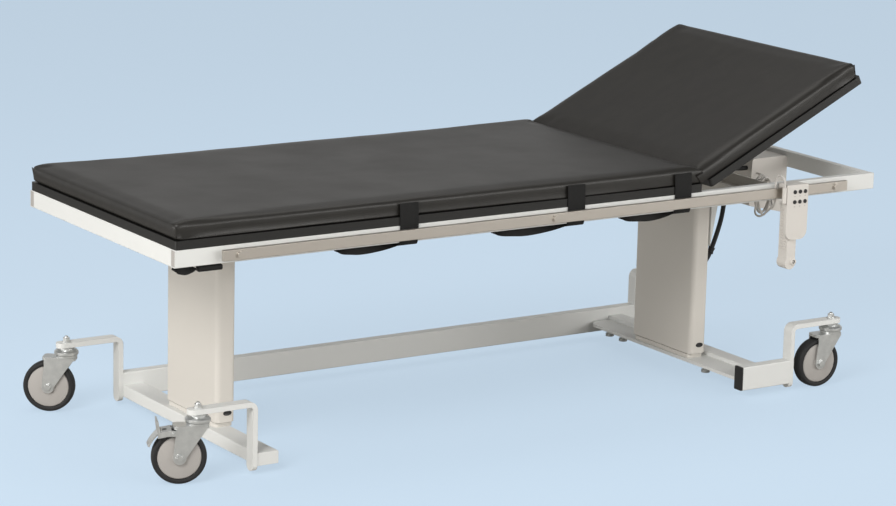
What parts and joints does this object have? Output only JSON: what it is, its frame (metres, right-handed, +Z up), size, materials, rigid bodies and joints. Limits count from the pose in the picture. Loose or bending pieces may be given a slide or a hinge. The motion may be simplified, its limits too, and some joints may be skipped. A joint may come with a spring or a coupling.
{
  "type": "examination couch",
  "caption": "Height adjustable examination couch with a folding backrest, accessory rails, castors and a hand control.",
  "frame": {"origin": "floor level under the middle of the whole couch", "axes": "+X towards the head end, -Y towards the side with the hand control, +Z up"},
  "size_m": [2.0143, 0.815, 0.8325],
  "materials": {
    "white_enamel": "semi-gloss white powder coat",
    "column_enamel": "satin grey-beige powder coat",
    "rail_steel": "brushed stainless steel",
    "castor_zinc": "bright zinc plate",
    "castor_rubber": "matt dark grey rubber tyre on a grey wheel disc",
    "black_plastic": "moulded black plastic",
    "grey_plastic": "moulded mid grey plastic",
    "handset_plastic": "moulded light grey plastic",
    "rod_chrome": "polished chrome",
    "board_laminate": "black laminated board",
    "mattress_vinyl": "dark vinyl upholstery with a fine grain",
    "strap_webbing": "black woven webbing",
    "lead_grey": "light grey cable sheath",
    "lead_black": "black cable sheath"
  },
  "bodies": {
    "base": {"foot_cross_tube": "white_enamel", "long_beam": "white_enamel", "near_side_tube": "white_enamel", "head_cross_frame": "white_enamel", "base_end_caps": "black_plastic", "castor_stems": "castor_zinc", "levelling_feet": "castor_zinc", "castor_arms_foot": "white_enamel", "castor_arms_head": "white_enamel", "column_inner_foot": "column_enamel", "column_inner_head": "column_enamel"},
    "middle_foot": {"column_middle_foot": "column_enamel"},
    "middle_head": {"column_middle_head": "column_enamel"},
    "bed_frame": {"column_sleeve_foot": "column_enamel", "column_sleeve_head": "column_enamel", "column_channel_foot": "column_enamel", "column_channel_head": "column_enamel", "column_gusset": "white_enamel", "side_tube_near": "white_enamel", "side_tube_far": "white_enamel", "rail_near": "rail_steel", "rail_far": "rail_steel", "end_tube_foot": "white_enamel", "end_tube_head": "white_enamel", "frame_end_caps": "grey_plastic", "hinge_cross_tube": "white_enamel", "middle_cross_tube": "white_enamel", "rail_bolts": "rail_steel", "seat_board": "board_laminate", "seat_mattress": "mattress_vinyl", "mattress_straps": "strap_webbing", "control_box": "handset_plastic", "mains_inlet": "black_plastic", "box_lead": "lead_grey", "hand_lead": "lead_grey", "cable_hank": "lead_grey", "column_lead": "lead_black"},
    "backrest": {"backrest_board": "board_laminate", "backrest_mattress": "mattress_vinyl", "backrest_bar_near": "white_enamel", "backrest_bar_far": "white_enamel"},
    "actuator": {"actuator_housing": "grey_plastic"},
    "actuator_slider": {"actuator_rod": "rod_chrome"},
    "handset": {"handset_shell": "handset_plastic", "handset_strain_relief": "handset_plastic"},
    "castor_near_foot": {"castor_near_foot_fork": "castor_zinc"},
    "wheel_near_foot": {"castor_near_foot_wheel": "castor_rubber"},
    "castor_far_foot": {"castor_far_foot_fork": "castor_zinc"},
    "wheel_far_foot": {"castor_far_foot_wheel": "castor_rubber"},
    "castor_near_head": {"castor_near_head_fork": "castor_zinc"},
    "wheel_near_head": {"castor_near_head_wheel": "castor_rubber"},
    "castor_far_head": {"castor_far_head_fork": "castor_zinc"},
    "wheel_far_head": {"castor_far_head_wheel": "castor_rubber"},
    "brake_pedal": {"castor_near_foot_pedal": "castor_zinc"},
    "button_1": {"handset_button_1": "black_plastic"},
    "button_2": {"handset_button_2": "black_plastic"},
    "button_3": {"handset_button_3": "black_plastic"},
    "button_4": {"handset_button_4": "black_plastic"},
    "button_5": {"handset_button_5": "black_plastic"},
    "button_6": {"handset_button_6": "black_plastic"}
  },
  "joints": [
    {"name": "bed_lift", "type": "slide", "parent": "base", "child": "bed_frame", "axis": [0, 0, 1], "range_m": [0, 0.35]},
    {"name": "middle_foot_lift", "type": "slide", "parent": "base", "child": "middle_foot", "axis": [0, 0, 1], "range_m": [0, 0.175]},
    {"name": "middle_head_lift", "type": "slide", "parent": "base", "child": "middle_head", "axis": [0, 0, 1], "range_m": [0, 0.175]},
    {"name": "backrest_fold", "type": "hinge", "parent": "bed_frame", "child": "backrest", "pos_m": [0.4775, 0, 0.545], "axis": [0, -1, 0], "range_deg": [-26, 34]},
    {"name": "actuator_pivot", "type": "hinge", "parent": "bed_frame", "child": "actuator", "pos_m": [0.0935, 0.195, 0.467], "axis": [0, -1, 0], "range_deg": [-1, 1]},
    {"name": "actuator_extend", "type": "slide", "parent": "actuator", "child": "actuator_slider", "axis": [1, 0, -0.0048], "range_m": [-0.036, 0.047]},
    {"name": "swivel_near_foot", "type": "hinge", "parent": "base", "child": "castor_near_foot", "pos_m": [-0.8955, -0.332, 0.15], "axis": [0, 0, 1], "continuous": true},
    {"name": "roll_near_foot", "type": "hinge", "parent": "castor_near_foot", "child": "wheel_near_foot", "pos_m": [-0.93444, -0.31627, 0.0625], "axis": [-0.3746, -0.9272, 0], "continuous": true},
    {"name": "swivel_far_foot", "type": "hinge", "parent": "base", "child": "castor_far_foot", "pos_m": [-0.8955, 0.332, 0.15], "axis": [0, 0, 1], "continuous": true},
    {"name": "roll_far_foot", "type": "hinge", "parent": "castor_far_foot", "child": "wheel_far_foot", "pos_m": [-0.9286, 0.35786, 0.0625], "axis": [-0.6157, -0.788, 0], "continuous": true},
    {"name": "swivel_near_head", "type": "hinge", "parent": "base", "child": "castor_near_head", "pos_m": [0.9195, -0.332, 0.15], "axis": [0, 0, 1], "continuous": true},
    {"name": "roll_near_head", "type": "hinge", "parent": "castor_near_head", "child": "wheel_near_head", "pos_m": [0.87751, -0.33127, 0.0625], "axis": [-0.0175, -0.9998, 0], "continuous": true},
    {"name": "swivel_far_head", "type": "hinge", "parent": "base", "child": "castor_far_head", "pos_m": [0.9195, 0.332, 0.15], "axis": [0, 0, 1], "continuous": true},
    {"name": "roll_far_head", "type": "hinge", "parent": "castor_far_head", "child": "wheel_far_head", "pos_m": [0.87913, 0.34358, 0.0625], "axis": [-0.2756, -0.9613, 0], "continuous": true},
    {"name": "brake_press", "type": "hinge", "parent": "castor_near_foot", "child": "brake_pedal", "pos_m": [-0.94742, -0.31102, 0.12], "axis": [-0.3746, -0.9272, 0], "range_deg": [0, 8], "stiffness_Nm_per_rad": 4},
    {"name": "handset_lift_off", "type": "slide", "parent": "bed_frame", "child": "handset", "axis": [0, 0, 1], "range_m": [0, 0.012]},
    {"name": "button_1_press", "type": "slide", "parent": "handset", "child": "button_1", "axis": [0, 1, 0], "range_m": [0, 0.0015], "stiffness_N_per_m": 400},
    {"name": "button_2_press", "type": "slide", "parent": "handset", "child": "button_2", "axis": [0, 1, 0], "range_m": [0, 0.0015], "stiffness_N_per_m": 400},
    {"name": "button_3_press", "type": "slide", "parent": "handset", "child": "button_3", "axis": [0, 1, 0], "range_m": [0, 0.0015], "stiffness_N_per_m": 400},
    {"name": "button_4_press", "type": "slide", "parent": "handset", "child": "button_4", "axis": [0, 1, 0], "range_m": [0, 0.0015], "stiffness_N_per_m": 400},
    {"name": "button_5_press", "type": "slide", "parent": "handset", "child": "button_5", "axis": [0, 1, 0], "range_m": [0, 0.0015], "stiffness_N_per_m": 400},
    {"name": "button_6_press", "type": "slide", "parent": "handset", "child": "button_6", "axis": [0, 1, 0], "range_m": [0, 0.0015], "stiffness_N_per_m": 400}
  ],
  "couplings": [
    {"joint": "middle_foot_lift", "follows": "bed_lift", "ratio": 0.5},
    {"joint": "middle_head_lift", "follows": "bed_lift", "ratio": 0.5},
    {"joint": "actuator_pivot", "follows": "backrest_fold", "ratio": 0.01},
    {"joint": "actuator_extend", "follows": "backrest_fold", "m_per_rad": 0.0764}
  ]
}
